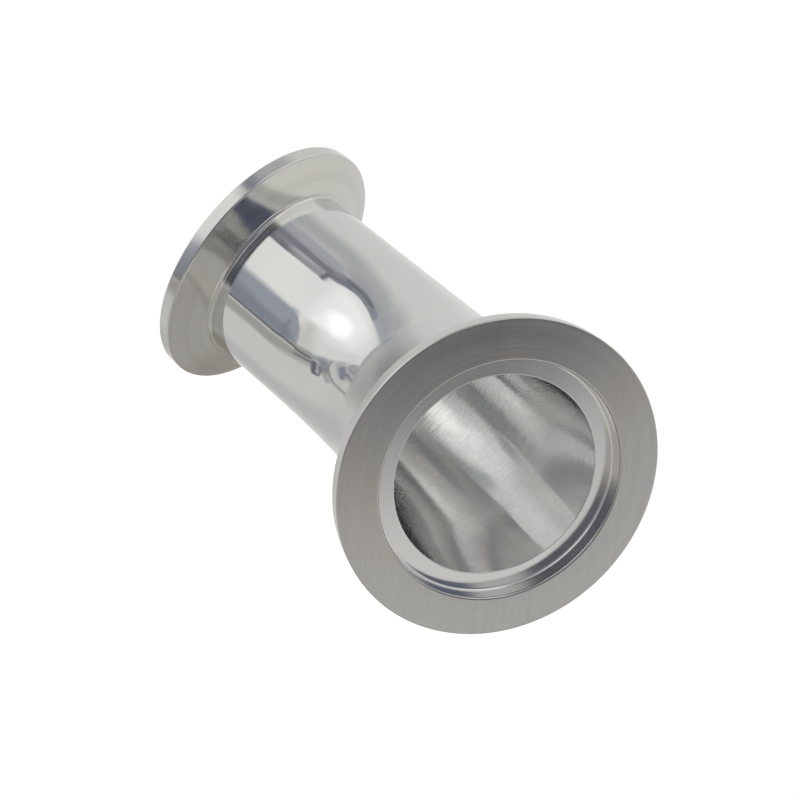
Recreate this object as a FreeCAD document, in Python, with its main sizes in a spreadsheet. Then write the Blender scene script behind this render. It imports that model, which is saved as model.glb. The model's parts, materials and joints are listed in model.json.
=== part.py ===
"""Forty-five degree vacuum elbow with two quick-clamp flanges.

The elbow stands on the sealing face of its base flange. The origin is the centre of that
face, +Z runs up the base port, and the tube bends towards +X in the XZ plane. Millimetres.
"""
import FreeCAD, Part
import math
import os

import Sketcher
from FreeCAD import Placement, Rotation, Vector

# Driving dimensions: one plain number each, in millimetres or degrees
DIMENSIONS = {
    "tube_diameter": 38.1,
    "tube_wall": 1.65,
    "leg_length": 20.3,
    "bend_radius": 57.15,
    "bend_angle": 45.0,
    "neck_length": 1.8,
    "root_bevel": 0.75,
    "back_angle": 15.0,
    "rim_thickness": 2.7,
    "rim_chamfer": 0.3,
    "sealing_width": 6.9,
    "recess_depth": 2.8,
    "recess_chamfer": 0.25,
    "ledge_width": 3.2,
    "bore_chamfer": 0.15,
}

# Sizes that follow from the driving dimensions, as expressions on the sheet
TUBE_RADIUS = "(sizes.tube_diameter / 2)"
BORE_RADIUS = f"({TUBE_RADIUS} - sizes.tube_wall)"
RECESS_RADIUS = f"({BORE_RADIUS} + sizes.ledge_width)"
RIM_RADIUS = f"({RECESS_RADIUS} + sizes.sealing_width)"
CONE_RISE = f"(({RIM_RADIUS} - {TUBE_RADIUS}) * tan(sizes.back_angle))"
CONE_TOP = f"(sizes.rim_thickness + {CONE_RISE})"
JOINT_HEIGHT = f"({CONE_TOP} + sizes.neck_length)"

# From where the two port axes cross to either sealing face
CENTRE_TO_FACE = "(sizes.leg_length + sizes.bend_radius * tan(sizes.bend_angle / 2))"
OUTLET_X = f"({CENTRE_TO_FACE} * sin(sizes.bend_angle))"
OUTLET_Z = f"({CENTRE_TO_FACE} * (1 + cos(sizes.bend_angle)))"
OUTLET_TURN = "(180 + sizes.bend_angle)"
BEND_END_X = "(sizes.bend_radius * (1 - cos(sizes.bend_angle)))"
BEND_END_Z = "(sizes.leg_length + sizes.bend_radius * sin(sizes.bend_angle))"
OUTLET_JOINT_X = f"({OUTLET_X} - {JOINT_HEIGHT} * sin(sizes.bend_angle))"
OUTLET_JOINT_Z = f"({OUTLET_Z} - {JOINT_HEIGHT} * cos(sizes.bend_angle))"

# Names for the ends of a sketch line or arc, and for the sketch's own axes and origin
START, END, CENTRE = range(1, 4)
X_AXIS, Y_AXIS = range(-1, -3, -1)
ORIGIN = (X_AXIS, START)
TOLERANCE = 1e-4

doc = FreeCAD.newDocument("vacuum_elbow")


def make_sheet():
    """Put every driving dimension in its own named cell."""
    sheet = doc.addObject("Spreadsheet::Sheet", "sizes")
    for row, (name, number) in enumerate(DIMENSIONS.items(), start=1):
        sheet.set(f"A{row}", name)
        sheet.set(f"B{row}", str(number))
        sheet.setAlias(f"B{row}", name)
    doc.recompute()
    return sheet


def value(expression):
    """The present value of an expression on the sheet, as a plain number."""
    result = sheet.evalExpression(expression)
    return getattr(result, "Value", result)


def add_body(name):
    body = doc.addObject("PartDesign::Body", name)
    body.Label = name
    return body


def add_sketch(body, name, plane_role):
    """A sketch on one of the body's own origin planes."""
    sketch = body.newObject("Sketcher::SketchObject", name)
    plane = next(item for item in body.Origin.OriginFeatures if item.Role == plane_role)
    sketch.AttachmentSupport = [(plane, "")]
    sketch.MapMode = "FlatFace"
    return sketch


def add_line(sketch, start, end):
    return sketch.addGeometry(Part.LineSegment(Vector(*start, 0), Vector(*end, 0)))


def add_outline(sketch, corners):
    """Closed outline of straight lines through the corners, joined end to start."""
    following = corners[1:] + corners[:1]
    lines = [add_line(sketch, start, end) for start, end in zip(corners, following)]
    for line, after in zip(lines, lines[1:] + lines[:1]):
        sketch.addConstraint(Sketcher.Constraint("Coincident", line, END, after, START))
    return lines


def constrain(sketch, kind, *elements):
    sketch.addConstraint(Sketcher.Constraint(kind, *elements))


def dimension(sketch, kind, *elements, size):
    """A driving dimension in the sketch, bound to an expression on the sheet."""
    index = sketch.addConstraint(Sketcher.Constraint(kind, *elements, value(size)))
    sketch.setExpression(f"Constraints[{index}]", size)


def ring_edge(feature, radius, height):
    """Name of the feature's circular edge of this radius, centred at this height on its Z axis."""
    centre = Vector(0, 0, value(height))
    for number, edge in enumerate(feature.Shape.Edges, start=1):
        curve = edge.Curve
        if not isinstance(curve, Part.Circle):
            continue
        if abs(curve.Radius - value(radius)) < TOLERANCE and curve.Center.isEqual(centre, TOLERANCE):
            return f"Edge{number}"
    raise RuntimeError(f"{feature.Name} has no edge of radius {radius} at {height}")


def bevel_edge(body, name, edge_radius, edge_height, size):
    """Bevel one ring edge of the body's present shape. In a hollow corner this adds a cove."""
    base = body.Tip
    feature = body.newObject("PartDesign::Chamfer", f"{body.Name}_{name}")
    feature.Base = (base, [ring_edge(base, edge_radius, edge_height)])
    feature.setExpression("Size", size)
    body.Tip = feature
    doc.recompute()


# Flange: one turned ring, drawn as half a section and revolved about its port axis
def draw_flange_section(body):
    """Half section of the flange, sealing face on the X axis, sharp edges."""
    sketch = add_sketch(body, f"{body.Name}_section", "XZ_Plane")
    bore = value(BORE_RADIUS)
    neck = value(TUBE_RADIUS)
    rim = value(RIM_RADIUS)
    recess = value(RECESS_RADIUS)
    corners = [
        (bore, value("sizes.recess_depth")),
        (bore, value(JOINT_HEIGHT)),
        (neck, value(JOINT_HEIGHT)),
        (neck, value(CONE_TOP)),
        (rim, value("sizes.rim_thickness")),
        (rim, 0),
        (recess, 0),
        (recess, value("sizes.recess_depth")),
    ]
    outline = add_outline(sketch, corners)
    bore_wall, joint_end, neck_wall, cone_back, rim_wall, sealing_face, recess_wall, ledge = outline

    for line in (bore_wall, neck_wall, rim_wall, recess_wall):
        constrain(sketch, "Vertical", line)
    for line in (joint_end, sealing_face, ledge):
        constrain(sketch, "Horizontal", line)
    constrain(sketch, "PointOnObject", sealing_face, START, X_AXIS)

    dimension(sketch, "DistanceX", *ORIGIN, bore_wall, START, size=BORE_RADIUS)
    dimension(sketch, "DistanceX", *ORIGIN, recess_wall, START, size=RECESS_RADIUS)
    dimension(sketch, "DistanceX", sealing_face, END, sealing_face, START, size="sizes.sealing_width")
    dimension(sketch, "DistanceX", joint_end, START, joint_end, END, size="sizes.tube_wall")
    dimension(sketch, "DistanceY", recess_wall, START, recess_wall, END, size="sizes.recess_depth")
    dimension(sketch, "DistanceY", rim_wall, END, rim_wall, START, size="sizes.rim_thickness")
    dimension(sketch, "DistanceY", neck_wall, END, neck_wall, START, size="sizes.neck_length")
    dimension(sketch, "DistanceY", cone_back, END, cone_back, START, size=CONE_RISE)
    return sketch


def make_flange(name):
    """Turned quick-clamp flange with its sealing face at the origin and its neck along +Z."""
    body = add_body(name)
    section = draw_flange_section(body)

    turned = body.newObject("PartDesign::Revolution", f"{name}_turned")
    turned.Profile = section
    turned.ReferenceAxis = (section, ["V_Axis"])
    turned.Angle = 360
    section.Visibility = False
    doc.recompute()

    bevel_edge(body, "root_bevel", TUBE_RADIUS, CONE_TOP, "sizes.root_bevel")
    bevel_edge(body, "rim_back_chamfer", RIM_RADIUS, "sizes.rim_thickness", "sizes.rim_chamfer")
    bevel_edge(body, "rim_face_chamfer", RIM_RADIUS, "0", "sizes.rim_chamfer")
    bevel_edge(body, "recess_chamfer", RECESS_RADIUS, "0", "sizes.recess_chamfer")
    bevel_edge(body, "bore_chamfer", BORE_RADIUS, "sizes.recess_depth", "sizes.bore_chamfer")
    return body


# Elbow tube: a plain round tube swept along leg, bend and leg, as wide as the flanges' necks
def draw_centre_line(body):
    """Centre line of the tube, from joint to joint: straight, arc, straight."""
    sketch = add_sketch(body, "centre_line", "XZ_Plane")
    bend_start = (0, value("sizes.leg_length"))
    bend_end = (value(BEND_END_X), value(BEND_END_Z))
    bend_centre = Vector(value("sizes.bend_radius"), value("sizes.leg_length"), 0)
    circle = Part.Circle(bend_centre, Vector(0, 0, 1), value("sizes.bend_radius"))
    bend_angle = math.radians(value("sizes.bend_angle"))

    base_leg = add_line(sketch, (0, value(JOINT_HEIGHT)), bend_start)
    bend = sketch.addGeometry(Part.ArcOfCircle(circle, math.pi - bend_angle, math.pi))
    outlet_leg = add_line(sketch, bend_end, (value(OUTLET_JOINT_X), value(OUTLET_JOINT_Z)))

    constrain(sketch, "Vertical", base_leg)
    constrain(sketch, "PointOnObject", base_leg, START, Y_AXIS)
    constrain(sketch, "Tangent", base_leg, END, bend, END)
    constrain(sketch, "Tangent", bend, START, outlet_leg, START)
    dimension(sketch, "DistanceY", *ORIGIN, base_leg, START, size=JOINT_HEIGHT)
    dimension(sketch, "DistanceY", *ORIGIN, base_leg, END, size="sizes.leg_length")
    dimension(sketch, "Radius", bend, size="sizes.bend_radius")
    dimension(sketch, "DistanceX", *ORIGIN, outlet_leg, START, size=BEND_END_X)
    dimension(sketch, "DistanceX", *ORIGIN, outlet_leg, END, size=OUTLET_JOINT_X)
    return sketch


def draw_ring_section(body):
    """The tube's ring section about the base port's axis, at the height of the lower joint."""
    sketch = add_sketch(body, "ring_section", "XY_Plane")
    sketch.setExpression("AttachmentOffset.Base.z", JOINT_HEIGHT)
    for radius in (TUBE_RADIUS, BORE_RADIUS):
        circle = sketch.addGeometry(Part.Circle(Vector(0, 0, 0), Vector(0, 0, 1), value(radius)))
        constrain(sketch, "Coincident", circle, CENTRE, *ORIGIN)
        dimension(sketch, "Radius", circle, size=radius)
    return sketch


def make_tube():
    body = add_body("elbow_tube")
    path = draw_centre_line(body)
    doc.recompute()
    section = draw_ring_section(body)
    tube = body.newObject("PartDesign::AdditivePipe", "bent_tube")
    tube.Profile = section
    tube.Spine = path
    body.Tip = tube
    section.Visibility = False
    path.Visibility = False
    doc.recompute()
    return body


def check_document(bodies):
    """Stop if any object failed to compute or any piece is not one valid solid."""
    for item in doc.Objects:
        if "Invalid" in item.State or "Error" in item.State:
            raise RuntimeError(f"{item.Name} failed: {item.State}")
    for body in bodies:
        shape = body.Shape
        if shape.isNull() or not shape.isValid() or len(shape.Solids) != 1:
            raise RuntimeError(f"{body.Label} is not one valid solid")


sheet = make_sheet()
base_flange = make_flange("base_flange")
elbow_tube = make_tube()
outlet_flange = make_flange("outlet_flange")
outlet_flange.Placement = Placement(Vector(0, 0, 0), Rotation(Vector(0, 1, 0), 180))
outlet_flange.setExpression("Placement.Base.x", OUTLET_X)
outlet_flange.setExpression("Placement.Base.z", OUTLET_Z)
outlet_flange.setExpression("Placement.Rotation.Angle", OUTLET_TURN)
doc.recompute()

pieces = [base_flange, elbow_tube, outlet_flange]
check_document(pieces)
os.makedirs("parts", exist_ok=True)
for piece in pieces:
    piece.Shape.exportStep(f"parts/{piece.Label}.step")
    box = piece.Shape.optimalBoundingBox()
    print(piece.Label, "volume", round(piece.Shape.Volume, 1), "box", box)
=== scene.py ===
"""Looks of a forty-five degree vacuum elbow: a polished bent tube between two turned flanges.

Metres. The elbow stands on its base flange, +Z runs up the base port, and the tube bends
towards +X. Both flanges are the same turned part, so one function makes them.
"""
import json
import math

import bmesh
import bpy
from mathutils import Matrix, Vector


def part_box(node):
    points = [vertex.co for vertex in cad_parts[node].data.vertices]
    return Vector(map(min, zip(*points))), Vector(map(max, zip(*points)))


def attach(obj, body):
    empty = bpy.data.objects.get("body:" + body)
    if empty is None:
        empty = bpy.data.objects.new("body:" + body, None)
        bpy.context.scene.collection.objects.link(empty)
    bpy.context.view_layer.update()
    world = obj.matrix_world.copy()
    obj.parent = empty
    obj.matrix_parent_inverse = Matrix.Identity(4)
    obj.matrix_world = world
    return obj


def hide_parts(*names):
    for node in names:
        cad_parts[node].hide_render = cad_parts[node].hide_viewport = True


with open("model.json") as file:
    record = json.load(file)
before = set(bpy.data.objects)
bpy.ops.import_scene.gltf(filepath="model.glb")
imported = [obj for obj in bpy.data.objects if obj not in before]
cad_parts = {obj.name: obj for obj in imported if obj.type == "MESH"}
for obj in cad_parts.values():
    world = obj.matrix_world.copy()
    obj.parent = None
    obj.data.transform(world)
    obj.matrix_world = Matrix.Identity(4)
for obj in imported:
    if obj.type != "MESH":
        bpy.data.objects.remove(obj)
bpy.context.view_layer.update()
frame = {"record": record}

Y, Z = Vector((0, 1, 0)), Vector((0, 0, 1))

# Sizes read from the frame
_, base_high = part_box("base_flange")
_, tube_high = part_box("elbow_tube")
mounts = {mount["name"]: mount for mount in frame["record"]["mounts"]}
RIM_RADIUS = base_high.y
TUBE_RADIUS = tube_high.y
JOINT_HEIGHT = base_high.z
RECESS_RADIUS = mounts["base_recess"]["dims"]["r_mm"] / 1000
OUTLET_AXIS = Vector(mounts["outlet_face"]["axis"]).normalized()
OUTLET_FACE = Vector(mounts["outlet_face"]["pos_m"])
BEND_ANGLE = OUTLET_AXIS.angle(Z)

# Sizes that the frame doesn't state
MM = 0.001
TUBE_WALL = 1.65 * MM
LEG_LENGTH = 20.3 * MM
BEND_RADIUS = 57.15 * MM
NECK_LENGTH = 1.8 * MM
ROOT_RADIUS = 1.0 * MM
RIM_THICKNESS = 2.7 * MM
RIM_CHAMFER = 0.3 * MM
RECESS_DEPTH = 2.8 * MM
RECESS_EDGE = 0.4 * MM
RECESS_CORNER = 0.35 * MM
BORE_CHAMFER = 0.15 * MM
BACK_ANGLE = math.radians(15)
BORE_RADIUS = TUBE_RADIUS - TUBE_WALL
CONE_TOP = JOINT_HEIGHT - NECK_LENGTH

# How finely round shapes are divided
RING_STEPS = 240
HALF_BEND_STEPS = 24
ROOT_SEGMENTS = 8
EDGE_SEGMENTS = 5
BORE_EDGE_SEGMENTS = 4
WELD = 1e-6
HARD_EDGE = math.radians(28)
FLAT_FACE_WEIGHT = 100

ORIGIN = Vector((0, 0, 0))
BEND_CENTRE = Vector((BEND_RADIUS, 0, LEG_LENGTH))
OUTSIDE, INSIDE = 0, 1


def finish_piece(name, bm, node, materials):
    """Close a bmesh, make it an object, and let it stand for its node of the frame."""
    bmesh.ops.remove_doubles(bm, verts=bm.verts, dist=WELD)
    bmesh.ops.recalc_face_normals(bm, faces=bm.faces)
    for face in bm.faces:
        face.smooth = True
    for edge in bm.edges:
        edge.smooth = edge.calc_face_angle(0) < HARD_EDGE
    mesh = bpy.data.meshes.new(name)
    bm.to_mesh(mesh)
    bm.free()
    for material in materials:
        mesh.materials.append(material)
    piece = bpy.data.objects.new(name, mesh)
    bpy.context.scene.collection.objects.link(piece)
    flats = piece.modifiers.new("flat faces stay flat", "WEIGHTED_NORMAL")
    flats.weight = FLAT_FACE_WEIGHT
    flats.keep_sharp = True
    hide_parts(node)
    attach(piece, "root")


# Flange: eight corners of half a section, spun about the port axis, its ring edges then dressed
def ring_edges(bm, radius, height):
    """The edges that lie on one ring about the port axis."""
    def on_ring(vert):
        off_axis = math.hypot(vert.co.x, vert.co.y)
        return abs(off_axis - radius) < WELD and abs(vert.co.z - height) < WELD

    return [edge for edge in bm.edges if on_ring(edge.verts[0]) and on_ring(edge.verts[1])]


def dress_ring(bm, radius, height, offset, segments):
    bmesh.ops.bevel(
        bm, geom=ring_edges(bm, radius, height), offset=offset, offset_type="OFFSET",
        affect="EDGES", segments=segments, profile=0.5, material=-1)


def mark_bore(bm):
    """Give the faces of the bore their own finish."""
    for face in bm.faces:
        in_bore = all(math.hypot(*vert.co.xy) < BORE_RADIUS + WELD for vert in face.verts)
        face.material_index = INSIDE if in_bore else OUTSIDE


def turned_flange(name, node, place, materials):
    """A clamp flange with its sealing face on the port's end, put in place by a matrix."""
    bm = bmesh.new()
    corners = [
        (BORE_RADIUS, RECESS_DEPTH),
        (BORE_RADIUS, JOINT_HEIGHT),
        (TUBE_RADIUS, JOINT_HEIGHT),
        (TUBE_RADIUS, CONE_TOP),
        (RIM_RADIUS, RIM_THICKNESS),
        (RIM_RADIUS, 0),
        (RECESS_RADIUS, 0),
        (RECESS_RADIUS, RECESS_DEPTH),
    ]
    verts = [bm.verts.new((radius, 0, height)) for radius, height in corners]
    edges = [bm.edges.new(pair) for pair in zip(verts, verts[1:] + verts[:1])]
    bmesh.ops.spin(
        bm, geom=verts + edges, cent=ORIGIN, axis=Z, angle=math.tau,
        steps=RING_STEPS, use_merge=True)
    root_offset = ROOT_RADIUS * math.tan((math.pi / 2 - BACK_ANGLE) / 2)
    dress_ring(bm, TUBE_RADIUS, CONE_TOP, root_offset, ROOT_SEGMENTS)
    dress_ring(bm, RIM_RADIUS, RIM_THICKNESS, RIM_CHAMFER, EDGE_SEGMENTS)
    dress_ring(bm, RIM_RADIUS, 0, RIM_CHAMFER, EDGE_SEGMENTS)
    dress_ring(bm, RECESS_RADIUS, 0, RECESS_EDGE, EDGE_SEGMENTS)
    dress_ring(bm, RECESS_RADIUS, RECESS_DEPTH, RECESS_CORNER, EDGE_SEGMENTS)
    dress_ring(bm, BORE_RADIUS, RECESS_DEPTH, BORE_CHAMFER, BORE_EDGE_SEGMENTS)
    mark_bore(bm)
    bmesh.ops.transform(bm, matrix=place, verts=bm.verts)
    finish_piece(name, bm, node, materials)


# Elbow tube: half of it is spun and swept, then mirrored in the plane that halves the bend
def spin_leg(bm):
    """The base leg, from one line down the bore, across the joint and up the outside."""
    corners = [
        (BORE_RADIUS, LEG_LENGTH),
        (BORE_RADIUS, JOINT_HEIGHT),
        (TUBE_RADIUS, JOINT_HEIGHT),
        (TUBE_RADIUS, LEG_LENGTH),
    ]
    verts = [bm.verts.new((radius, 0, height)) for radius, height in corners]
    for pair in zip(verts, verts[1:]):
        bm.edges.new(pair)
    bmesh.ops.spin(
        bm, geom=bm.verts[:] + bm.edges[:], cent=ORIGIN, axis=Z, angle=math.tau,
        steps=RING_STEPS, use_merge=True)
    mark_bore(bm)


def sweep_bend(bm, radius, material_index):
    """Sweep one ring at the top of the leg half way round the bend."""
    swept_before = set(bm.faces)
    bmesh.ops.spin(
        bm, geom=ring_edges(bm, radius, LEG_LENGTH), cent=BEND_CENTRE, axis=Y,
        angle=BEND_ANGLE / 2, steps=HALF_BEND_STEPS)
    for face in bm.faces:
        if face not in swept_before:
            face.material_index = material_index


def bent_tube(name, node, materials):
    bm = bmesh.new()
    spin_leg(bm)
    sweep_bend(bm, BORE_RADIUS, INSIDE)
    sweep_bend(bm, TUBE_RADIUS, OUTSIDE)
    along = Vector((math.sin(BEND_ANGLE / 2), 0, math.cos(BEND_ANGLE / 2)))
    mirror = (
        Matrix.Translation(BEND_CENTRE) @ Matrix.Scale(-1, 4, along)
        @ Matrix.Translation(-BEND_CENTRE))
    copied = bmesh.ops.duplicate(bm, geom=bm.verts[:] + bm.edges[:] + bm.faces[:])
    copied_verts = [item for item in copied["geom"] if isinstance(item, bmesh.types.BMVert)]
    bmesh.ops.transform(bm, matrix=mirror, verts=copied_verts)
    finish_piece(name, bm, node, materials)


# Shader nodes
class Wires:
    """Adds nodes to one shader tree. Any value may be a number, a tuple or another node's output."""

    def __init__(self, tree):
        self.tree = tree

    def node(self, kind, inputs=None, **settings):
        node = self.tree.nodes.new(kind)
        for setting, value in settings.items():
            setattr(node, setting, value)
        for key, value in (inputs or {}).items():
            self.feed(node.inputs[key], value)
        return node

    def feed(self, socket, value):
        if isinstance(value, bpy.types.NodeSocket):
            self.tree.links.new(value, socket)
        elif value is not None:
            socket.default_value = value

    def math(self, operation, *values):
        return self.node("ShaderNodeMath", dict(enumerate(values)), operation=operation).outputs[0]

    def vector(self, operation, *values):
        node = self.node("ShaderNodeVectorMath", dict(enumerate(values)), operation=operation)
        return node.outputs["Value" if operation in {"DOT_PRODUCT", "LENGTH"} else "Vector"]

    def soft(self, value, low, high):
        """0 at low, 1 at high, with a smooth step between them. It needs no clamp, and in a large
        tree the clamps would overrun the renderer's stack."""
        inputs = {"Value": value, "From Min": low, "From Max": high}
        step = self.node("ShaderNodeMapRange", inputs, interpolation_type="SMOOTHSTEP", clamp=False)
        return step.outputs["Result"]

    def raised(self, value, mask, by):
        """The value, raised by this much where the mask is 1."""
        return self.math("MULTIPLY_ADD", mask, by, value)

    def blend(self, factor, first, second):
        """The first colour where the factor is 0, the second where it is 1."""
        node = self.node("ShaderNodeMix", data_type="RGBA", clamp_factor=True)
        self.feed(node.inputs[0], factor)
        for place, colour in ((6, first), (7, second)):
            is_wire = isinstance(colour, bpy.types.NodeSocket)
            self.feed(node.inputs[place], colour if is_wire else (*colour, 1))
        return node.outputs[2]

    def noise(self, place, scale, detail):
        inputs = {"Vector": place, "Scale": scale, "Detail": detail}
        return self.node("ShaderNodeTexNoise", inputs).outputs["Fac"]

    def stretch(self, place, by):
        return self.vector("MULTIPLY", place, by)

    def bump(self, height, depth, normal=None):
        """Raise the surface where the height is 1, by this depth in metres."""
        inputs = {"Height": height, "Distance": depth, "Strength": 1.0, "Normal": normal}
        return self.node("ShaderNodeBump", inputs).outputs["Normal"]

    def group(self, tree, inputs):
        return self.node("ShaderNodeGroup", inputs, node_tree=tree).outputs


def node_group(name, inputs, outputs):
    """An empty shader node group with named sockets, its wires, and its input and output nodes."""
    tree = bpy.data.node_groups.new(name, "ShaderNodeTree")
    for socket_name, kind in inputs:
        tree.interface.new_socket(socket_name, in_out="INPUT", socket_type="NodeSocket" + kind)
    for socket_name, kind in outputs:
        tree.interface.new_socket(socket_name, in_out="OUTPUT", socket_type="NodeSocket" + kind)
    wires = Wires(tree)
    given = wires.node("NodeGroupInput").outputs
    result = wires.node("NodeGroupOutput").inputs
    return tree, wires, given, result


# Where a point lies on a turned ring or on the bent tube, for the finishes below
NEAR_ZERO = 1e-4


def ring_place_group():
    """From a point in the flange's own frame: its radius, height and place across the grooves."""
    outputs = [("Radius", "Float"), ("Height", "Float"), ("Across", "Float")]
    tree, wires, given, result = node_group("place_on_ring", [("Place", "Vector")], outputs)
    parts = wires.node("ShaderNodeSeparateXYZ", {0: given["Place"]}).outputs
    flat = wires.node("ShaderNodeCombineXYZ", {"X": parts["X"], "Y": parts["Y"]}).outputs[0]
    radius = wires.vector("LENGTH", flat)
    wires.feed(result["Radius"], radius)
    wires.feed(result["Height"], parts["Z"])
    wires.feed(result["Across"], wires.math("ADD", radius, parts["Z"]))
    return tree


def bend_turn(wires, place):
    """From a point on the tube: its offset from the bend's centre, and how far round the bend it
    lies, which is 0 on the base leg and the whole angle on the outlet leg."""
    from_centre = wires.vector("SUBTRACT", place, tuple(BEND_CENTRE))
    parts = wires.node("ShaderNodeSeparateXYZ", {0: from_centre}).outputs
    inward = wires.math("MAXIMUM", wires.math("MULTIPLY", parts["X"], -1), NEAR_ZERO)
    turned = wires.math("MAXIMUM", wires.math("ARCTAN2", parts["Z"], inward), 0)
    return from_centre, wires.math("MINIMUM", turned, BEND_ANGLE)


def tube_place_group():
    """From a point on the tube: the way along the centre line, and the place across it, towards
    the outside of the bend and to the side."""
    outputs = [("Along", "Float"), ("Outward", "Float"), ("Sideways", "Float")]
    tree, wires, given, result = node_group("place_on_tube", [("Place", "Vector")], outputs)
    from_centre, turned = bend_turn(wires, given["Place"])
    sine = wires.math("SINE", turned)
    cosine = wires.math("COSINE", turned)
    outward = wires.node("ShaderNodeCombineXYZ", {"X": wires.math("MULTIPLY", cosine, -1), "Z": sine})
    along = wires.node("ShaderNodeCombineXYZ", {"X": sine, "Z": cosine}).outputs[0]
    reach = wires.vector("DOT_PRODUCT", from_centre, outward.outputs[0])
    past = wires.vector("DOT_PRODUCT", from_centre, along)
    way = wires.math("MULTIPLY_ADD", turned, BEND_RADIUS, past)
    wires.feed(result["Along"], wires.math("ADD", way, LEG_LENGTH))
    wires.feed(result["Outward"], wires.math("SUBTRACT", reach, BEND_RADIUS))
    parts = wires.node("ShaderNodeSeparateXYZ", {0: given["Place"]}).outputs
    wires.feed(result["Sideways"], parts["Y"])
    return tree


def wear_group():
    """Marks that handling leaves on any of the finishes: faint smears and a few pin-sized nicks."""
    outputs = [("Smears", "Float"), ("Nicks", "Float")]
    tree, wires, given, result = node_group("handling_wear", [("Place", "Vector")], outputs)
    smears = wires.noise(given["Place"], scale=90, detail=3)
    wires.feed(result["Smears"], wires.soft(smears, 0.38, 0.72))
    spots = wires.node(
        "ShaderNodeTexVoronoi", {"Vector": given["Place"], "Scale": 160, "Randomness": 1}).outputs
    chosen = wires.node("ShaderNodeSeparateColor", {0: spots["Color"]}).outputs[0]
    near = wires.soft(spots["Distance"], 0.045, 0.025)
    wires.feed(result["Nicks"], wires.math("MULTIPLY", near, wires.soft(chosen, 0.965, 0.97)))
    return tree


ring_place = ring_place_group()
tube_place = tube_place_group()
wear_marks = wear_group()


class Finish:
    """One steel finish: its material, its wires, its shader, and the piece's Object coordinates."""

    def __init__(self, name, anisotropy=0.0, metallic=1.0):
        self.material = bpy.data.materials.new(name)
        self.material.use_nodes = True
        tree = self.material.node_tree
        self.wires = Wires(tree)
        self.shader = tree.nodes["Principled BSDF"].inputs
        self.shader["Metallic"].default_value = metallic
        self.shader["Anisotropic"].default_value = anisotropy
        self.place = self.wires.node("ShaderNodeTexCoord").outputs["Object"]

    def surface(self, colour, roughness, normal):
        self.wires.feed(self.shader["Base Color"], colour)
        self.wires.feed(self.shader["Roughness"], roughness)
        self.wires.feed(self.shader["Normal"], normal)
        return self.material


def tube_skin(wires, at):
    """A point on the tube, as if the tube were straight: for marks that follow the bend."""
    return wires.node(
        "ShaderNodeCombineXYZ", {"X": at["Along"], "Y": at["Outward"], "Z": at["Sideways"]}).outputs[0]


# Polished outside of the tube: nearly a mirror, with the slight waves of a bent and buffed tube
def polished_outside():
    finish = Finish("polished_steel_outside")
    wires = finish.wires
    at = wires.group(tube_place, {"Place": finish.place})
    wear = wires.group(wear_marks, {"Place": finish.place})
    skin = tube_skin(wires, at)
    waves = wires.noise(skin, scale=75, detail=1)
    peel = wires.noise(wires.stretch(skin, (1.0, 0.55, 0.55)), scale=620, detail=2)
    buffing = wires.noise(wires.stretch(skin, (14.0, 0.5, 0.5)), scale=420, detail=3)
    normal = wires.bump(waves, depth=9e-5)
    normal = wires.bump(peel, depth=1.6e-6, normal=normal)
    normal = wires.bump(buffing, depth=4e-7, normal=normal)
    cloud = wires.noise(skin, scale=130, detail=4)
    roughness = wires.raised(0.045, wires.soft(cloud, 0.4, 0.7), by=0.035)
    roughness = wires.raised(roughness, wear["Smears"], by=0.02)
    # The buffing wheel hardly reaches the inside of the bend, so it stays hazy near the outlet
    inside = wires.soft(at["Outward"], -13 * MM, -19 * MM)
    near_outlet = wires.soft(at["Along"], 52 * MM, 55.5 * MM)
    roughness = wires.raised(roughness, wires.math("MULTIPLY", inside, near_outlet), by=0.32)
    colour = wires.blend(wear["Smears"], (0.735, 0.735, 0.725), (0.705, 0.705, 0.70))
    colour = wires.blend(wear["Nicks"], colour, (0.45, 0.45, 0.46))
    return finish.surface(colour, roughness, normal)


# Satin bore: ripples run round it, so that what it mirrors is drawn out along the tube
def satin_bore():
    # The little that isn't metallic stands for the light that a satin grain scatters widely
    finish = Finish("satin_steel_bore", anisotropy=0.85, metallic=0.9)
    wires = finish.wires
    at = wires.group(tube_place, {"Place": finish.place})
    wear = wires.group(wear_marks, {"Place": finish.place})
    skin = tube_skin(wires, at)
    _, turned = bend_turn(wires, finish.place)
    along = wires.node(
        "ShaderNodeCombineXYZ", {"X": wires.math("SINE", turned), "Z": wires.math("COSINE", turned)})
    wires.feed(finish.shader["Tangent"], along.outputs[0])
    ripples = wires.noise(wires.stretch(skin, (9.0, 0.8, 0.8)), scale=190, detail=2)
    ribs = wires.noise(wires.stretch(skin, (0.12, 1.0, 1.0)), scale=260, detail=2)
    normal = wires.bump(ripples, depth=1.4e-5)
    normal = wires.bump(ribs, depth=2.8e-5, normal=normal)
    cloud = wires.noise(wires.stretch(skin, (0.5, 1.0, 1.0)), scale=150, detail=4)
    roughness = wires.raised(0.085, wires.soft(cloud, 0.35, 0.7), by=0.06)
    colour = wires.blend(wires.soft(cloud, 0.3, 0.7), (0.73, 0.725, 0.715), (0.655, 0.65, 0.64))
    rings = wires.noise(wires.stretch(skin, (5.0, 0.7, 0.7)), scale=1100, detail=3)
    rings = wires.math("MULTIPLY", wires.soft(rings, 0.3, 0.7), 0.45)
    colour = wires.blend(rings, colour, (0.53, 0.527, 0.52))
    colour = wires.blend(wear["Nicks"], colour, (0.80, 0.79, 0.76))
    return finish.surface(colour, roughness, normal)


# Turned flange: grooves run round the port axis, coarse on the sealing face, fine on the back
SANDING_TURN = math.radians(-56)
QUARTER_TURN = 0.25


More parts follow.
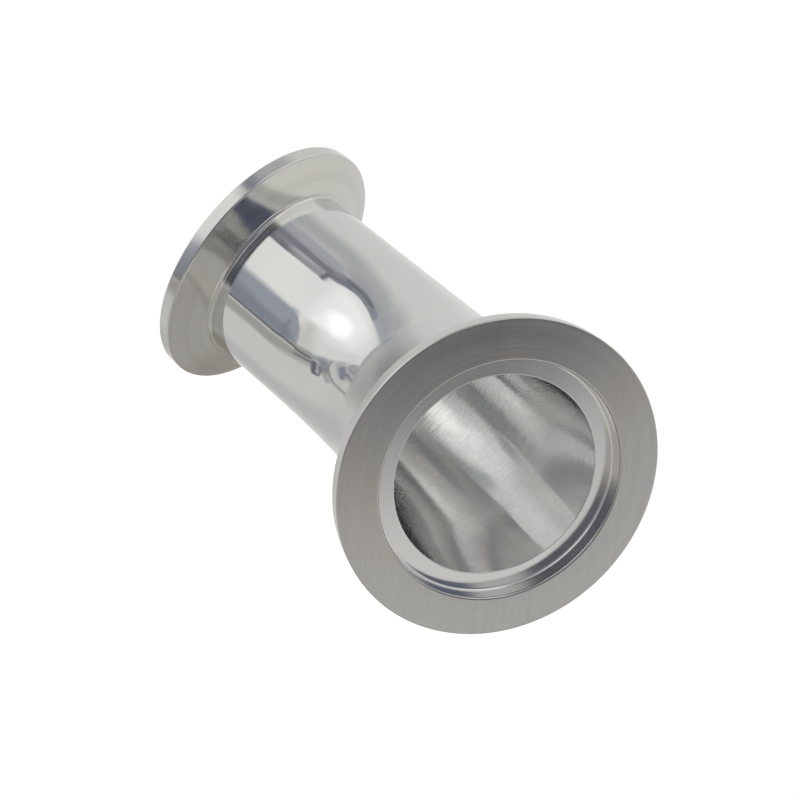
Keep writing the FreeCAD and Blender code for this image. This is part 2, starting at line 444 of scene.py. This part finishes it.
def turned_steel(name, place):
    finish = Finish(name, anisotropy=0.45)
    wires = finish.wires
    centre = tuple(place.translation)
    axis = tuple(place.to_3x3() @ Z)
    round_axis = wires.vector("CROSS_PRODUCT", axis, wires.vector("SUBTRACT", finish.place, centre))
    wires.feed(finish.shader["Tangent"], round_axis)
    finish.shader["Anisotropic Rotation"].default_value = QUARTER_TURN
    back = place.inverted()
    to_own = {
        "Vector": finish.place,
        "Location": tuple(back.translation),
        "Rotation": tuple(back.to_euler()),
    }
    own = wires.node("ShaderNodeMapping", to_own, vector_type="POINT").outputs[0]
    at = wires.group(ring_place, {"Place": own})
    wear = wires.group(wear_marks, {"Place": own})
    on_face = wires.soft(at["Height"], 0.4 * MM, 0.05 * MM)
    # Mask of the recess walls and ledge, which carries a painted highlight in the colour below
    recess_painted_lighter = wires.soft(at["Radius"], RECESS_RADIUS + 0.1 * MM, RECESS_RADIUS - 0.2 * MM)
    recess_painted_lighter = wires.math("MULTIPLY", recess_painted_lighter, wires.soft(at["Height"], CONE_TOP, RECESS_DEPTH))
    on_back = wires.soft(at["Height"], RIM_THICKNESS - 0.4 * MM, RIM_THICKNESS + 0.3 * MM)

    drift = wires.stretch(own, (30.0, 30.0, 30.0))

    def rings(per_metre, detail):
        """Rings across the grooves, which drift a little on their way round."""
        across = wires.math("MULTIPLY", at["Across"], per_metre)
        across = wires.node("ShaderNodeCombineXYZ", {"X": across}).outputs[0]
        return wires.noise(wires.vector("ADD", across, drift), scale=1.0, detail=detail)

    grooves = rings(per_metre=2600, detail=3)
    passes = rings(per_metre=700, detail=2)
    height = wires.math("MULTIPLY", grooves, wires.raised(0.25, on_face, by=0.75))
    normal = wires.bump(height, depth=4e-6)
    normal = wires.bump(passes, depth=4e-6, normal=normal)
    # Straight marks of the last hand sanding, across the sealing face alone
    to_sanding = {"Vector": own, "Rotation": (0, 0, SANDING_TURN)}
    sanded = wires.node("ShaderNodeMapping", to_sanding).outputs[0]
    sanded = wires.noise(wires.stretch(sanded, (0.035, 1.0, 1.0)), scale=1500, detail=3)
    sanded = wires.math("MULTIPLY", wires.soft(sanded, 0.35, 0.65), on_face)
    normal = wires.bump(sanded, depth=4e-7, normal=normal)
    hand = wires.noise(own, scale=55, detail=2)
    normal = wires.bump(hand, depth=2e-5, normal=normal)

    roughness = wires.raised(0.12, on_face, by=0.065)
    roughness = wires.raised(roughness, on_back, by=-0.04)
    roughness = wires.raised(roughness, recess_painted_lighter, by=0.02)
    roughness = wires.raised(roughness, passes, by=0.05)
    roughness = wires.raised(roughness, sanded, by=0.015)
    roughness = wires.raised(roughness, wear["Smears"], by=0.03)
    streaks = wires.soft(passes, 0.3, 0.7)
    colour = wires.blend(streaks, (0.65, 0.643, 0.63), (0.70, 0.693, 0.68))
    face_colour = wires.blend(streaks, (0.60, 0.592, 0.572), (0.645, 0.637, 0.616))
    # Faint warm patches, as handling and old polish leave them on bare steel
    warm = wires.noise(wires.vector("ADD", own, (0.021, 0.003, 0)), scale=48, detail=3)
    warm = wires.math("MULTIPLY", wires.soft(warm, 0.46, 0.62), 0.7)
    face_colour = wires.blend(warm, face_colour, (0.62, 0.595, 0.552))
    faint_sanding = wires.math("MULTIPLY", sanded, 0.4)
    face_colour = wires.blend(faint_sanding, face_colour, (0.585, 0.575, 0.556))
    colour = wires.blend(on_face, colour, face_colour)
    # Painted highlight: the recess walls and ledge are painted far lighter than the steel, which
    # brightens the hollow
    colour = wires.blend(recess_painted_lighter, colour, (0.90, 0.895, 0.885))
    colour = wires.blend(wear["Nicks"], colour, (0.42, 0.42, 0.42))
    return finish.surface(colour, roughness, normal)


outlet_centre = Vector((OUTLET_FACE.x, 0, OUTLET_FACE.z))
outlet_place = Matrix.Translation(outlet_centre) @ Matrix.Rotation(math.pi + BEND_ANGLE, 4, "Y")
base_steel = turned_steel("turned_steel_base", Matrix.Identity(4))
outlet_steel = turned_steel("turned_steel_outlet", outlet_place)
bore_steel = satin_bore()
turned_flange("turned_base_flange", "base_flange", Matrix.Identity(4), [base_steel, bore_steel])
turned_flange("turned_outlet_flange", "outlet_flange", outlet_place, [outlet_steel, bore_steel])
bent_tube("polished_elbow_tube", "elbow_tube", [polished_outside(), bore_steel])


# Studio: the world as the metal sees it. Places in it are an azimuth about +Z, from +X towards
# +Y, and a fall, the angle from straight down, both in degrees.
def card_group():
    """A soft-edged card, upright in azimuth and fall."""
    names = [
        "Azimuth", "Fall", "Centre azimuth", "Centre fall", "Half width", "Half depth", "Edge"]
    tree, wires, given, result = node_group(
        "studio_card", [(name, "Float") for name in names], [("Mask", "Float")])
    down = wires.math("SUBTRACT", given["Fall"], given["Centre fall"])
    across = wires.math("SUBTRACT", given["Azimuth"], given["Centre azimuth"])
    # A card can reach across the direction where the azimuth jumps from 180 to -180 degrees
    across = wires.math("WRAP", across, 180, -180)
    outer = wires.math("MULTIPLY", given["Edge"], -1)
    masks = []
    for offset, half in ((across, given["Half width"]), (down, given["Half depth"])):
        inside = wires.math("SUBTRACT", half, wires.math("ABSOLUTE", offset))
        masks.append(wires.soft(inside, outer, given["Edge"]))
    wires.feed(result["Mask"], wires.math("MULTIPLY", *masks))
    return tree


def stroke_group():
    """A soft-edged stroke with round ends, from one place to another."""
    names = [
        "Azimuth", "Fall", "Start azimuth", "Start fall", "End azimuth", "End fall",
        "Half width", "Edge"]
    tree, wires, given, result = node_group(
        "studio_stroke", [(name, "Float") for name in names], [("Mask", "Float")])

    def place(azimuth, fall):
        node = wires.node("ShaderNodeCombineXYZ", {"X": given[azimuth], "Y": given[fall]})
        return node.outputs[0]

    start = place("Start azimuth", "Start fall")
    offset = wires.vector("SUBTRACT", place("Azimuth", "Fall"), start)
    along = wires.vector("SUBTRACT", place("End azimuth", "End fall"), start)
    square = wires.vector("DOT_PRODUCT", along, along)
    share = wires.math("DIVIDE", wires.vector("DOT_PRODUCT", offset, along), square)
    share = wires.math("MINIMUM", wires.math("MAXIMUM", share, 0), 1)
    scaled = wires.node("ShaderNodeVectorMath", {0: along, "Scale": share}, operation="SCALE")
    distance = wires.vector("LENGTH", wires.vector("SUBTRACT", offset, scaled.outputs[0]))
    inside = wires.math("SUBTRACT", given["Half width"], distance)
    outer = wires.math("MULTIPLY", given["Edge"], -1)
    wires.feed(result["Mask"], wires.soft(inside, outer, given["Edge"]))
    return tree


class Studio:
    """The studio round the elbow, painted shape by shape into the world's colour. It starts from
    two plain walls that meet softly."""

    def __init__(self, wires, left_wall, right_wall):
        self.wires = wires
        self.card_tree = card_group()
        self.stroke_tree = stroke_group()
        direction = wires.node("ShaderNodeTexCoord").outputs["Generated"]
        self.direction = wires.vector("NORMALIZE", direction)
        parts = wires.node("ShaderNodeSeparateXYZ", {0: self.direction}).outputs
        turn = wires.math("ARCTAN2", parts["Y"], parts["X"])
        self.azimuth = wires.math("DEGREES", turn)
        drop = wires.math("ARCCOSINE", wires.math("MULTIPLY", parts["Z"], -1))
        self.fall = wires.math("DEGREES", drop)
        self.colour = wires.blend(wires.soft(parts["Y"], 0.3, -0.3), left_wall, right_wall)

    def paint(self, mask, colour):
        self.colour = self.wires.blend(mask, self.colour, colour)

    def card(self, azimuths, falls, edge, colour):
        inputs = {
            "Azimuth": self.azimuth,
            "Fall": self.fall,
            "Centre azimuth": (azimuths[0] + azimuths[1]) / 2,
            "Centre fall": (falls[0] + falls[1]) / 2,
            "Half width": (azimuths[1] - azimuths[0]) / 2,
            "Half depth": (falls[1] - falls[0]) / 2,
            "Edge": edge,
        }
        self.paint(self.wires.group(self.card_tree, inputs)["Mask"], colour)

    def stroke(self, places, half_width, edge, colour, strength=1.0):
        """A stroke through two or more places, painted as one shape."""
        mask = None
        for start, end in zip(places, places[1:]):
            inputs = {
                "Azimuth": self.azimuth,
                "Fall": self.fall,
                "Start azimuth": start[0],
                "Start fall": start[1],
                "End azimuth": end[0],
                "End fall": end[1],
                "Half width": half_width,
                "Edge": edge,
            }
            piece = self.wires.group(self.stroke_tree, inputs)["Mask"]
            mask = piece if mask is None else self.wires.math("MAXIMUM", mask, piece)
        self.paint(self.wires.math("MULTIPLY", mask, strength), colour)

    def disc(self, azimuth, fall, radius, edge, colour):
        """A round shape, its radius an angle seen from the elbow."""
        turn, drop = math.radians(azimuth), math.radians(fall)
        centre = (math.sin(drop) * math.cos(turn), math.sin(drop) * math.sin(turn), -math.cos(drop))
        cosine = self.wires.vector("DOT_PRODUCT", self.direction, centre)
        angle = self.wires.math("DEGREES", self.wires.math("ARCCOSINE", cosine))
        self.paint(self.wires.soft(angle, radius + edge, radius - edge), colour)


# What everything but the camera, metal and glass sees of the studio
PLAIN_LEVEL = 0.85


def make_world():
    """White to the camera, the studio to metal and glass, and a plain level to everything else."""
    world = bpy.data.worlds.new("studio")
    world.use_nodes = True
    tree = world.node_tree
    tree.nodes.clear()
    wires = Wires(tree)
    studio = Studio(wires, left_wall=(0.70, 0.70, 0.68), right_wall=(0.75, 0.75, 0.735))
    # The warm, darker side, the far side, and the level ceiling
    studio.card((110, 174), (80, 150), 14, (0.38, 0.365, 0.335))
    studio.card((112, 142), (44, 80), 10, (0.58, 0.58, 0.57))
    studio.card((158, 180), (40, 80), 9, (1.04, 1.04, 1.015))
    studio.card((-180, -150), (40, 80), 9, (0.80, 0.80, 0.79))
    studio.card((30, 160), (112, 142), 6, (0.45, 0.44, 0.41))
    studio.card((30, 110), (140, 158), 6, (0.62, 0.605, 0.56))
    studio.card((-158, -100), (118, 160), 10, (0.58, 0.58, 0.555))
    studio.card((-182, -148), (112, 155), 10, (0.75, 0.745, 0.70))
    studio.card((-112, -50), (86, 104), 6, (1.10, 1.09, 1.05))
    studio.card((46, 106), (72, 114), 6, (0.51, 0.505, 0.485))
    studio.disc(30, 172, 26, 10, (0.645, 0.64, 0.625))
    # The dark camera side
    studio.disc(-15, 145, 23.5, 7, (0.025, 0.025, 0.035))
    studio.card((-50, 42), (69, 112), 4, (0.20, 0.195, 0.20))
    studio.card((-44, 38), (80, 108), 5, (0.10, 0.105, 0.13))
    studio.card((18, 34), (112, 158), 4, (0.36, 0.325, 0.28))
    studio.card((-84, -26), (106, 132), 4, (0.56, 0.56, 0.56))
    studio.card((-28, 21), (108, 132), 4, (0.28, 0.28, 0.30))
    studio.card((-28, 21), (130, 158), 3, (0.16, 0.165, 0.195))
    studio.card((-84, -26), (131, 159), 3, (0.125, 0.14, 0.195))
    # The front window, with one brightest spot
    studio.disc(0, 0, 14, 8, (0.88, 0.88, 0.88))
    studio.disc(135, 16, 12, 6, (0.66, 0.66, 0.64))
    studio.card((-57, 52), (14, 80), 5, (0.84, 0.84, 0.825))
    studio.card((-58, 27), (8, 80), 9, (0.96, 0.96, 0.95))
    studio.card((-46, 12), (16, 50), 7, (1.10, 1.105, 1.09))
    studio.disc(-7, 34, 9.5, 4.5, (1.40, 1.40, 1.38))
    studio.stroke([(2, 43), (8, 46)], 4.0, 3.0, (1.20, 1.20, 1.17), strength=0.7)
    studio.stroke([(20, 48), (50, 48)], 5.0, 6.0, (0.70, 0.70, 0.675))
    studio.stroke([(-25, 62), (5, 62)], 5.0, 5.0, (0.93, 0.93, 0.91))
    # A dark rounded shape low in the window
    studio.stroke([(15, 61), (24, 62)], 3.2, 3.0, (0.55, 0.56, 0.59))
    studio.stroke([(25, 66), (32, 63), (42, 62.2), (52, 63)], 10.6, 0.9, (0.46, 0.45, 0.47))
    studio.stroke([(25, 66.4), (32, 63.6), (42, 62.8), (52, 63.6)], 10.0, 1.2, (0.37, 0.40, 0.46))
    studio.stroke([(40, 62), (50, 60)], 5.0, 4.0, (0.27, 0.29, 0.34))
    studio.stroke([(29, 60.4), (37, 61)], 0.9, 0.7, (0.28, 0.295, 0.345))
    # The dark and pale frame beside the window
    studio.card((50, 67), (42, 72), 2.5, (0.42, 0.42, 0.40))
    studio.stroke([(52, 34), (56, 42)], 3.0, 2.0, (0.42, 0.44, 0.45))
    studio.stroke(
        [(51, 70), (51.5, 60), (53.5, 55), (56.5, 50), (57.5, 44)],
        1.3, 0.9, (0.17, 0.17, 0.20))
    studio.stroke([(54, 70), (54.5, 60), (56.5, 54)], 1.2, 0.8, (0.62, 0.62, 0.59))
    studio.stroke([(62.5, 52), (62.5, 44)], 1.4, 1.0, (0.21, 0.21, 0.24))
    studio.stroke([(67, 60), (67.5, 44)], 2.0, 3.0, (0.50, 0.50, 0.48))
    # Small dark and grey shapes where that frame ends
    studio.stroke([(57, 35), (70, 35.5)], 3.4, 1.6, (0.31, 0.335, 0.355))
    studio.stroke([(72, 36), (82, 35.5)], 1.8, 1.6, (0.44, 0.455, 0.44))
    studio.stroke([(61, 41), (70, 42), (75.5, 42.5)], 1.7, 1.0, (0.17, 0.17, 0.205))
    studio.stroke([(64, 38.2), (71, 38.8), (76, 41)], 0.8, 0.7, (0.22, 0.22, 0.25))
    studio.stroke([(70, 40.2), (73.5, 41)], 0.6, 0.5, (0.52, 0.52, 0.53))
    # A pale ring near the floor, its dark outline, and blue-grey shapes inside it
    studio.stroke([(56, 25), (70, 22), (84, 22)], 6.0, 3.5, (0.52, 0.52, 0.51))
    studio.stroke(
        [(51, 27.6), (62, 29), (75, 29.6), (86, 28.2), (96, 26), (110, 25)],
        1.9, 1.2, (0.69, 0.665, 0.635))
    studio.stroke(
        [(51, 29), (56, 31), (62, 32.4), (72, 32.8), (82, 32.4)],
        0.9, 0.8, (0.33, 0.335, 0.335))
    studio.stroke(
        [(82, 32.4), (88, 31.4), (95, 30), (105, 29), (116, 28.4)],
        0.9, 0.8, (0.36, 0.36, 0.33))
    studio.stroke([(64, 14), (100, 12.5)], 3.0, 2.5, (0.43, 0.44, 0.47))
    studio.stroke([(68, 17), (84, 16.2), (98, 15.6)], 0.9, 1.0, (0.36, 0.355, 0.39))
    studio.stroke([(64, 22.5), (72, 23), (81, 23.2)], 2.8, 1.2, (0.27, 0.295, 0.36))
    studio.stroke([(80, 20.3), (96, 20), (110, 20.4)], 1.2, 1.0, (0.29, 0.30, 0.34))
    studio.stroke([(79, 25.2), (85, 24)], 0.6, 0.6, (0.20, 0.20, 0.23))
    # A blue-grey shape beside the window's other edge, darkest along that edge
    studio.stroke(
        [(-96, 26), (-84, 26), (-79, 34), (-78, 48), (-80, 66)],
        13.0, 10.0, (0.50, 0.51, 0.52))
    studio.stroke(
        [(-98, 17), (-80, 17), (-74, 18.5), (-69.5, 21.5), (-65.8, 25.3), (-62.5, 30), (-62, 42)],
        5.2, 1.4, (0.50, 0.52, 0.545))
    studio.stroke([(-82, 22), (-72, 28), (-68, 38), (-67, 52)], 7.0, 6.0, (0.44, 0.455, 0.475))
    studio.stroke(
        [(-62, 32), (-61, 43), (-57, 50), (-52.5, 54.5), (-48, 59)],
        5.6, 1.1, (0.32, 0.34, 0.375))
    studio.stroke([(-66, 30), (-63, 34)], 2.2, 2.0, (0.30, 0.335, 0.41))
    studio.stroke([(-63.5, 38), (-61, 46), (-57, 52)], 2.2, 1.8, (0.19, 0.205, 0.235))
    studio.stroke([(-57, 38), (-55.5, 46), (-51, 50.5)], 1.2, 0.9, (0.27, 0.29, 0.32))
    studio.stroke([(-53, 51), (-47, 57)], 2.6, 1.5, (0.235, 0.24, 0.285))
    studio.stroke([(-44, 64.5), (-36, 63.6)], 2.0, 1.2, (0.40, 0.405, 0.42))
    studio.stroke([(-48, 59.6), (-43, 60.6), (-35, 61.1)], 1.3, 0.8, (0.17, 0.175, 0.21))
    studio.stroke([(-56, 58), (-55.5, 68)], 3.2, 2.0, (0.30, 0.31, 0.34))
    studio.stroke([(-48.5, 62), (-48, 68)], 3.8, 1.6, (0.25, 0.255, 0.30))
    studio.stroke([(-60, 63), (-60, 68)], 6.0, 3.0, (0.45, 0.47, 0.50))

    sees = wires.node("ShaderNodeLightPath").outputs
    by_metal = wires.math("MAXIMUM", sees["Is Glossy Ray"], sees["Is Transmission Ray"])
    plain = wires.blend(sees["Is Camera Ray"], (PLAIN_LEVEL,) * 3, (1, 1, 1))
    backdrop = wires.node("ShaderNodeBackground", {"Color": plain}).outputs[0]
    around = wires.node("ShaderNodeBackground", {"Color": studio.colour}).outputs[0]
    shown = wires.node("ShaderNodeMixShader", {0: by_metal, 1: backdrop, 2: around}).outputs[0]
    wires.feed(wires.node("ShaderNodeOutputWorld").inputs["Surface"], shown)
    world.cycles.sampling_method = "NONE"
    bpy.context.scene.world = world


make_world()


# Floor: white, with the elbow's shadow. Metal looks through it at the studio.
FLOOR_REACH = 4
FLOOR_PAINT = 0.30
FLOOR_GLOW = 0.78


def make_floor():
    bm = bmesh.new()
    bmesh.ops.create_grid(bm, x_segments=1, y_segments=1, size=FLOOR_REACH)
    mesh = bpy.data.meshes.new("studio_floor")
    bm.to_mesh(mesh)
    bm.free()
    material = bpy.data.materials.new("white_floor")
    material.use_nodes = True
    tree = material.node_tree
    tree.nodes.clear()
    wires = Wires(tree)
    sees = wires.node("ShaderNodeLightPath").outputs
    grey = (FLOOR_PAINT, FLOOR_PAINT, FLOOR_PAINT, 1)
    paint = wires.node("ShaderNodeBsdfDiffuse", {"Color": grey}).outputs[0]
    glow = wires.node("ShaderNodeEmission", {"Color": (1, 1, 1, 1)})
    glow_strength = wires.math("MULTIPLY", sees["Is Camera Ray"], FLOOR_GLOW)
    wires.feed(glow.inputs["Strength"], glow_strength)
    white = wires.node("ShaderNodeAddShader", {0: paint, 1: glow.outputs[0]}).outputs[0]
    by_metal = wires.math("MAXIMUM", sees["Is Glossy Ray"], sees["Is Transmission Ray"])
    clear = wires.node("ShaderNodeBsdfTransparent").outputs[0]
    surface = wires.node("ShaderNodeMixShader", {0: by_metal, 1: white, 2: clear}).outputs[0]
    wires.feed(wires.node("ShaderNodeOutputMaterial").inputs["Surface"], surface)
    mesh.materials.append(material)
    floor = bpy.data.objects.new("studio_floor", mesh)
    bpy.context.scene.collection.objects.link(floor)


make_floor()


def make_lamp(name, place, size, power):
    """A round lamp that points at the elbow and isn't mirrored in it."""
    data = bpy.data.lights.new(name, "AREA")
    data.shape = "DISK"
    data.size = size
    data.energy = power
    lamp = bpy.data.objects.new(name, data)
    bpy.context.scene.collection.objects.link(lamp)
    place = Vector(place)
    aim = place.to_track_quat("Z", "Y").to_matrix().to_4x4()
    lamp.matrix_world = Matrix.Translation(place) @ aim
    lamp.visible_glossy = False


make_lamp("key_lamp", (0.25, 0.45, 0.9), size=0.7, power=3.0)
make_lamp("fill_lamp", (0.4, -0.6, 0.7), size=0.9, power=1.5)

# Camera, placed by a fit of the flanges' rings and the tube's outline
CAMERA_PLACE = Vector((0.204995, -0.017315, 0.111700))
CAMERA_LOOK = Vector((-0.94248, 0.09613, -0.32014))
CAMERA_RIGHT = Vector((-0.30903, -0.61564, 0.72491))
FOCAL_PIXELS = 1113.41
IMAGE_PIXELS = 800
SENSOR_WIDTH = 36
NEAREST_SEEN = 5 * MM


def make_camera():
    data = bpy.data.cameras.new("camera")
    data.sensor_width = SENSOR_WIDTH
    data.lens = FOCAL_PIXELS * SENSOR_WIDTH / IMAGE_PIXELS
    data.clip_start = NEAREST_SEEN
    camera = bpy.data.objects.new("camera", data)
    bpy.context.scene.collection.objects.link(camera)
    look = CAMERA_LOOK.normalized()
    right = (CAMERA_RIGHT - look * CAMERA_RIGHT.dot(look)).normalized()
    up = right.cross(look)
    turn = Matrix((right, up, -look)).transposed()
    camera.matrix_world = Matrix.Translation(CAMERA_PLACE) @ turn.to_4x4()
    bpy.context.scene.camera = camera


make_camera()

bpy.context.scene.view_settings.view_transform = "Standard"
